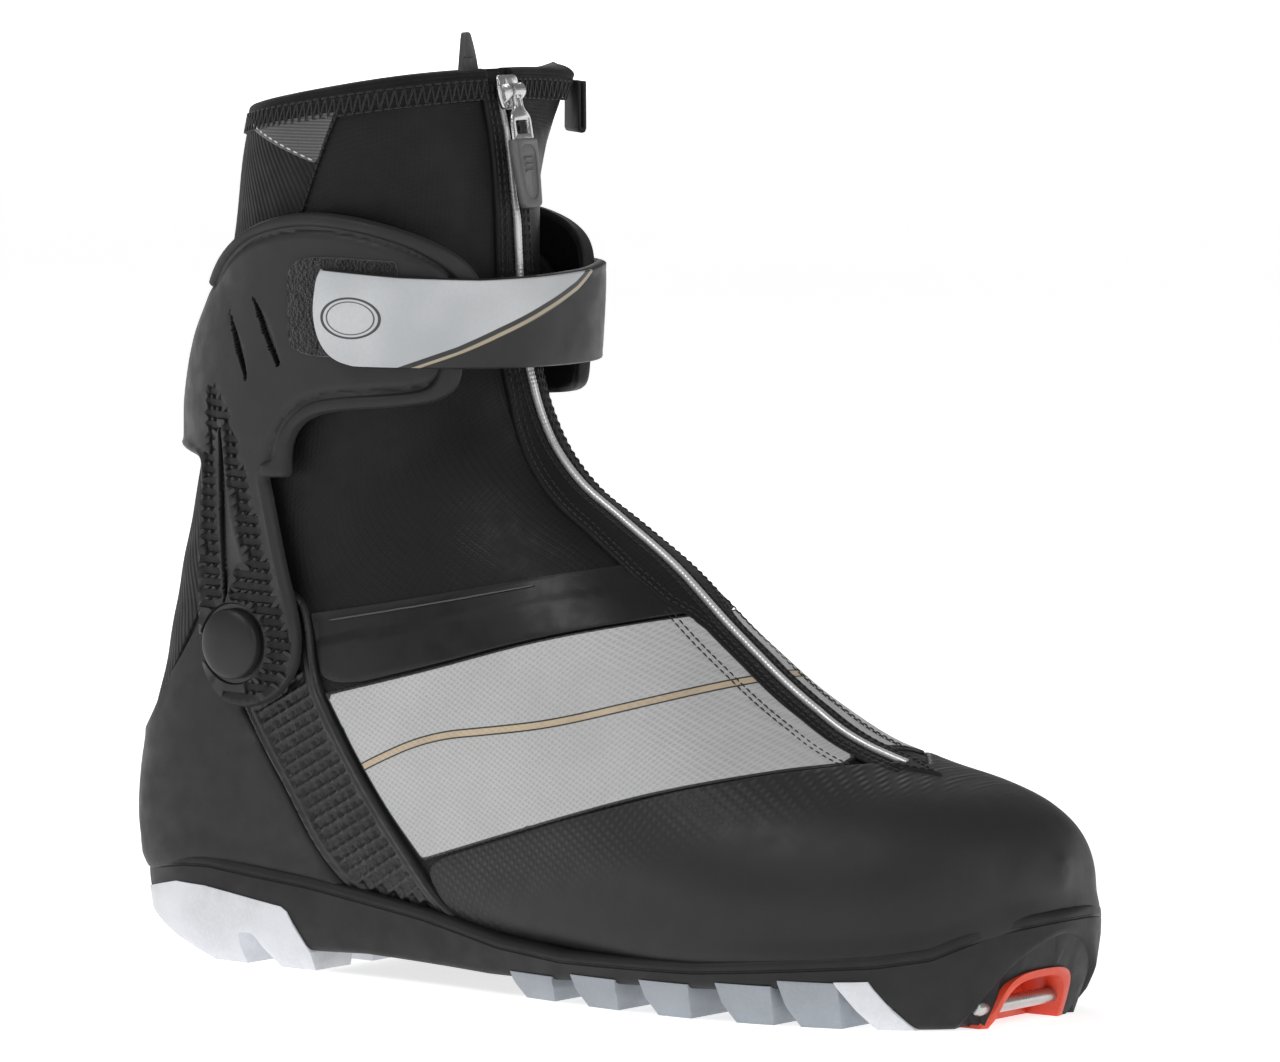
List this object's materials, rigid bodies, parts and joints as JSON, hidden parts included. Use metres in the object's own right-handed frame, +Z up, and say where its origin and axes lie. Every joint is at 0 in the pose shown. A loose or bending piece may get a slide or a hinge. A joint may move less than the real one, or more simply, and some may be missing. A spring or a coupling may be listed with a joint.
{
  "type": "cross-country skating boot",
  "caption": "Right cross-country skating boot with a pivoting cuff, zipped upper, closure strap and a sole with a steel toe bar for a ski binding.",
  "frame": {"origin": "on the floor straight below the axis of the cuff pivots, on the middle line of the heel", "axes": "+X to the toe, +Y to the inner (medial) side, +Z up; the boot stands on its sole"},
  "size_m": [0.2756, 0.0983, 0.2387],
  "materials": {
    "softshell": "black stretch softshell with a satin face",
    "gusset_softshell": "black stretch softshell",
    "lining": "dark grey brushed knit lining",
    "counter_rubber": "smooth matt moulded thermoplastic rubber",
    "brace_rubber": "moulded thermoplastic rubber with a diamond waffle",
    "toe_film": "matt dark welded film",
    "vamp_fabric": "silver dimpled woven panel with a gold stripe",
    "band_film": "dark welded band",
    "outsole_rubber": "black moulded outsole",
    "tread_white": "white moulded tread",
    "tread_grey": "light grey moulded tread",
    "shank_composite": "fibre reinforced plate",
    "pocket_red": "orange red moulded insert",
    "bar_steel": "brushed stainless steel",
    "board_felt": "stitched fibre board",
    "footbed_foam": "foam footbed with a knit cover",
    "tongue_fabric": "padded mesh tongue",
    "lace_cord": "round braided lace",
    "webbing": "black webbing",
    "facing": "stitched black zip facing",
    "zip_chain": "silver coil zip with a reflective piping",
    "rivet_metal": "turned aluminium",
    "cap_plastic": "matt domed cap",
    "bush_plastic": "acetal bush",
    "cuff_plastic": "matt dark grey moulded plastic",
    "trim_rubber": "soft moulded edge trim",
    "pad_foam": "cloth covered foam",
    "hook_loop": "hook and loop pile",
    "rear_knit": "black twill rear panel",
    "reflective": "grey reflective film",
    "binding": "overlocked elastic binding",
    "tab_rubber": "grey moulded tab",
    "strap_body": "dark grey moulded strap",
    "strap_silver": "silver film with a gold line",
    "ring_metal": "black painted wire",
    "slider_metal": "dark nickel",
    "pull_rubber": "grey moulded pull"
  },
  "bodies": {
    "boot": {"outsole": "outsole_rubber", "heel_tread": "tread_white", "forefoot_lugs": "tread_grey", "strut_lugs": "tread_white", "shank": "shank_composite", "toe_pocket": "pocket_red", "toe_bar": "bar_steel", "lasting_board": "board_felt", "footbed": "footbed_foam", "foot_upper": "softshell", "foot_lining": "lining", "heel_counter": "counter_rubber", "brace_lateral": "brace_rubber", "brace_medial": "brace_rubber", "toe_cap": "toe_film", "vamp_panel_lateral": "vamp_fabric", "vamp_panel_medial": "vamp_fabric", "quarter_band_lateral": "band_film", "quarter_band_medial": "band_film", "tongue": "tongue_fabric", "laces": "lace_cord", "lace_loops": "webbing", "ankle_gusset": "gusset_softshell", "ankle_lining": "lining", "instep_facing": "facing", "zip_lower": "zip_chain", "zip_bottom_stop": "facing", "pivot_rivet_lateral": "rivet_metal", "pivot_rivet_medial": "rivet_metal", "pivot_cap_lateral": "cap_plastic", "pivot_cap_medial": "cap_plastic"},
    "cuff": {"pivot_bush_lateral": "bush_plastic", "pivot_bush_medial": "bush_plastic", "cuff_shell": "cuff_plastic", "cuff_trim": "trim_rubber", "cuff_pad": "pad_foam", "cuff_loop_pad": "hook_loop", "shaft_upper": "softshell", "shaft_lining": "lining", "rear_panel": "rear_knit", "reflective_patches": "reflective", "collar_binding": "binding", "collar_facing": "facing", "collar_tab": "tab_rubber", "collar_loop": "webbing", "zip_upper": "zip_chain", "strap_webbing": "webbing", "strap_ring": "ring_metal"},
    "strap": {"strap_band": "strap_body", "strap_film": "strap_silver", "strap_hook_pad": "hook_loop"},
    "slider": {"zip_slider": "slider_metal"},
    "pull": {"pull_link": "slider_metal", "pull_tab": "pull_rubber"}
  },
  "joints": [
    {"name": "cuff_flex", "type": "hinge", "parent": "boot", "child": "cuff", "pos_m": [0, 0, 0.0835], "axis": [0, 1, 0], "range_deg": [-6, 15], "deforming": ["ankle_gusset", "ankle_lining", "instep_facing", "zip_lower", "tongue", "laces", "lace_loops"]},
    {"name": "strap_open", "type": "hinge", "parent": "cuff", "child": "strap", "pos_m": [0.03, 0.0456, 0.1685], "axis": [0, 0, 1], "range_deg": [0, 100]},
    {"name": "zip_slide", "type": "slide", "parent": "cuff", "child": "slider", "axis": [0.165, 0, -0.9863], "range_m": [0, 0.022]},
    {"name": "pull_swing", "type": "hinge", "parent": "slider", "child": "pull", "pos_m": [0.06023, 0, 0.22484], "axis": [0, -1, 0], "range_deg": [0, 150]}
  ]
}
